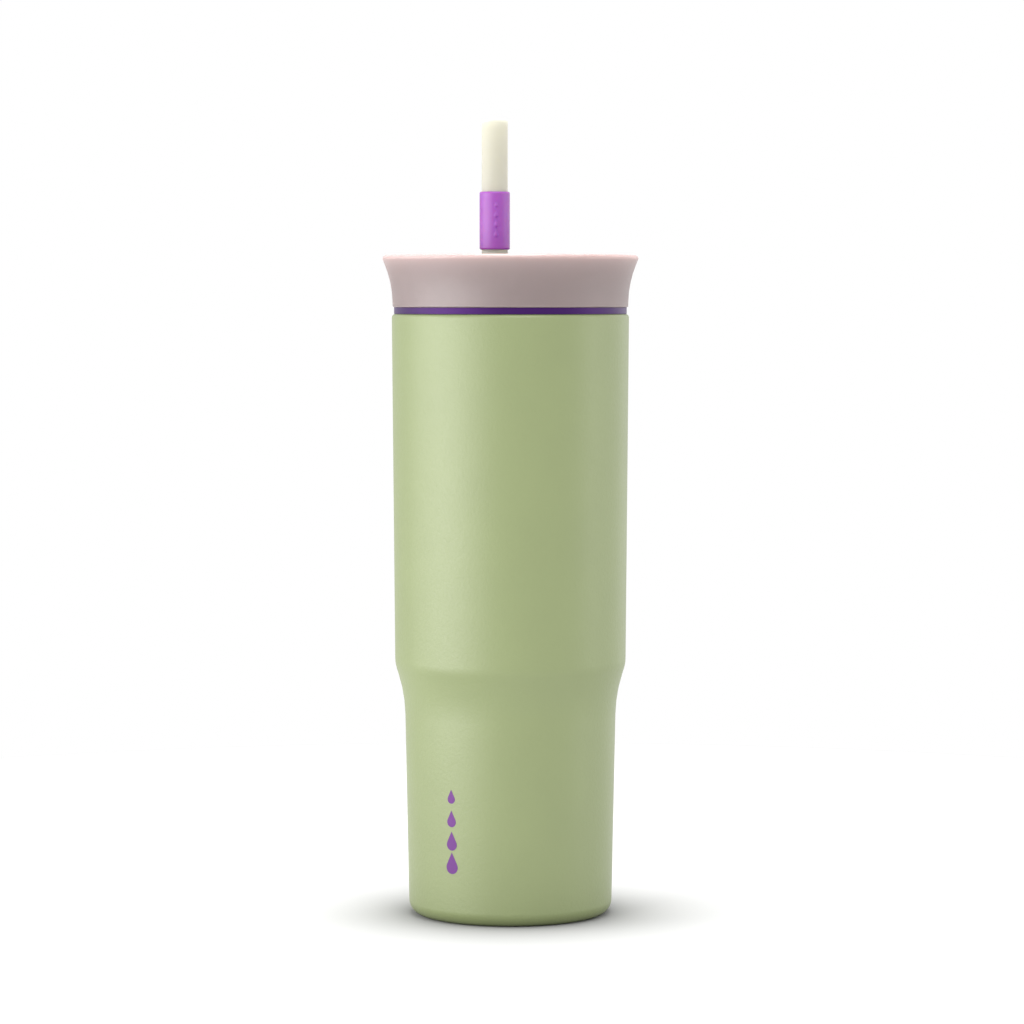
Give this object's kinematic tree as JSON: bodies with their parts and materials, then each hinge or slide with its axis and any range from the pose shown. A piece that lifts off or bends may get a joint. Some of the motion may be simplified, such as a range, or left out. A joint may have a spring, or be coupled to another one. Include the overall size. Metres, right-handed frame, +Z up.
{
  "type": "insulated tumbler",
  "caption": "Double-wall steel tumbler with a tapered foot, a flared press-in lid with a sliding drink closure, and a lift-out straw with a grip sleeve.",
  "frame": {"origin": "centre of the base, on the surface the tumbler stands on", "axes": "+Z up along the tumbler's axis, +X towards the drink slot, -Y towards the front"},
  "size_m": [0.0898, 0.0898, 0.2798],
  "materials": {
    "powder_coat": "pale green powder coat, satin, with a fine orange-peel texture",
    "steel": "stainless steel, turned and brushed round the axis",
    "copper": "bright copper foil",
    "glass_solder": "dark grey fused glass solder",
    "getter_powder": "matt grey pressed metal powder",
    "lid_plastic": "warm taupe moulded plastic, satin",
    "plug_plastic": "dark violet moulded plastic, semi-gloss",
    "seal_rubber": "pale silicone rubber, matt",
    "straw_plastic": "cream moulded plastic, satin",
    "sleeve_rubber": "bright purple silicone rubber, satin"
  },
  "bodies": {
    "vessel": {"outer_wall": "powder_coat", "liner_wall": "steel", "liner_floor": "steel", "copper_shield": "copper", "vacuum_pan": "steel", "vacuum_seal": "glass_solder", "foot_disc": "steel", "getter_pill": "getter_powder", "getter_clip": "steel"},
    "lid_seal": {"lid_gasket": "seal_rubber"},
    "lid": {"lid_shell": "lid_plastic", "lid_plug": "plug_plastic", "straw_grommet": "seal_rubber"},
    "drink_slider": {"slider_tab": "plug_plastic", "slider_pad": "seal_rubber"},
    "straw": {"straw_tube": "straw_plastic"},
    "sleeve": {"straw_sleeve": "sleeve_rubber"}
  },
  "joints": [
    {"name": "lid_lift", "type": "slide", "parent": "vessel", "child": "lid_seal", "axis": [0, 0, 1], "range_m": [0, 0.22]},
    {"name": "lid_turn", "type": "hinge", "parent": "lid_seal", "child": "lid", "pos_m": [0, 0, 0.205], "axis": [0, 0, 1], "continuous": true},
    {"name": "slider_slide", "type": "slide", "parent": "lid", "child": "drink_slider", "axis": [-1, 0, 0], "range_m": [0, 0.0135]},
    {"name": "straw_lift", "type": "slide", "parent": "lid", "child": "straw", "axis": [0, 0, 1], "range_m": [0, 0.23]},
    {"name": "sleeve_slide", "type": "slide", "parent": "straw", "child": "sleeve", "axis": [0, 0, 1], "range_m": [-0.0105, 0.0245]}
  ]
}
